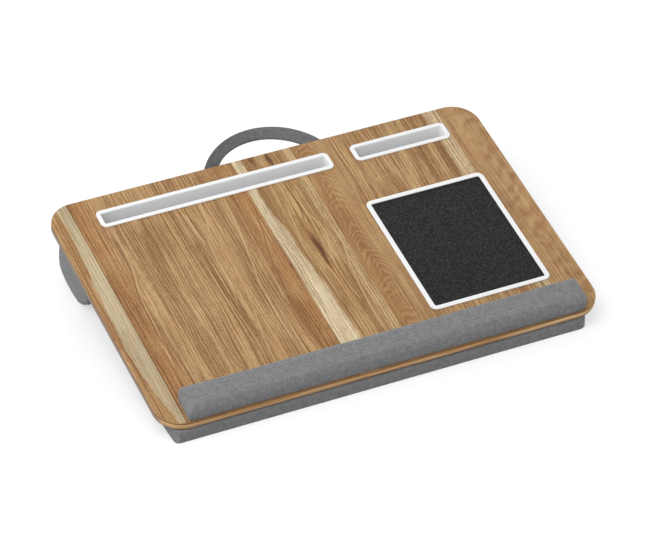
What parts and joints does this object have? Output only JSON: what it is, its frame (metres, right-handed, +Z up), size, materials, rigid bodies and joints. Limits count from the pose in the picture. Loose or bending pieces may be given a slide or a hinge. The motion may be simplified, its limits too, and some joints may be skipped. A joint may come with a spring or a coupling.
{
  "type": "cushioned laptop lap desk",
  "caption": "Sloping wood-grain lap desk on two fabric cushions, with tablet and phone slots, an inset mouse pad, a padded wrist rest and a carry strap that swings.",
  "frame": {"origin": "on the surface it stands on, under the middle of its outer box, which is the middle of the board's width", "axes": "+X to the right along the board's width, +Y to the rear where the board is high and the strap is, +Z up"},
  "size_m": [0.535, 0.4032, 0.0892],
  "materials": {
    "oak_laminate": "satin printed oak grain in planks",
    "oak_edge": "satin printed oak grain",
    "fibreboard": "raw fibreboard",
    "backing": "matt backing sheet",
    "white_plastic": "satin white moulding",
    "black_leather": "fine pebble grain, semi-matt",
    "black_foam": "matt foam",
    "grey_fabric": "heathered grey woven",
    "strap_fabric": "grey woven band",
    "white_foam": "soft foam",
    "base_strip": "matt strip",
    "tape": "adhesive tape",
    "zinc_wire": "zinc-plated wire",
    "bead_filling": "loose bead filling in a liner"
  },
  "bodies": {
    "desk": {"top_sheet": "oak_laminate", "edge_band": "oak_edge", "board_core": "fibreboard", "bottom_sheet": "backing", "tablet_tray": "white_plastic", "phone_tray": "white_plastic", "pad_frame": "white_plastic", "mouse_pad": "black_leather", "pad_underlay": "black_foam", "wrist_rest_cover": "grey_fabric", "wrist_rest_foam": "white_foam", "wrist_rest_base": "base_strip", "wrist_rest_tape_front": "tape", "wrist_rest_tape_rear": "tape", "base_cloth": "grey_fabric", "cloth_staple_1": "zinc_wire", "cloth_staple_2": "zinc_wire", "cloth_staple_3": "zinc_wire", "cloth_staple_4": "zinc_wire", "cloth_staple_5": "zinc_wire", "cloth_staple_6": "zinc_wire", "cloth_staple_7": "zinc_wire", "cloth_staple_8": "zinc_wire", "cloth_staple_9": "zinc_wire", "cloth_staple_10": "zinc_wire", "rear_bolster_cover": "grey_fabric", "rear_bolster_fill": "bead_filling", "front_bolster_cover": "grey_fabric", "front_bolster_fill": "bead_filling", "strap_tab_left": "strap_fabric", "strap_tab_right": "strap_fabric"},
    "strap": {"carry_strap": "strap_fabric"}
  },
  "joints": [
    {"name": "strap_swing", "type": "hinge", "parent": "desk", "child": "strap", "pos_m": [0.0078, 0.15152, 0.07787], "axis": [1, 0, 0], "range_deg": [-98, 85]}
  ]
}
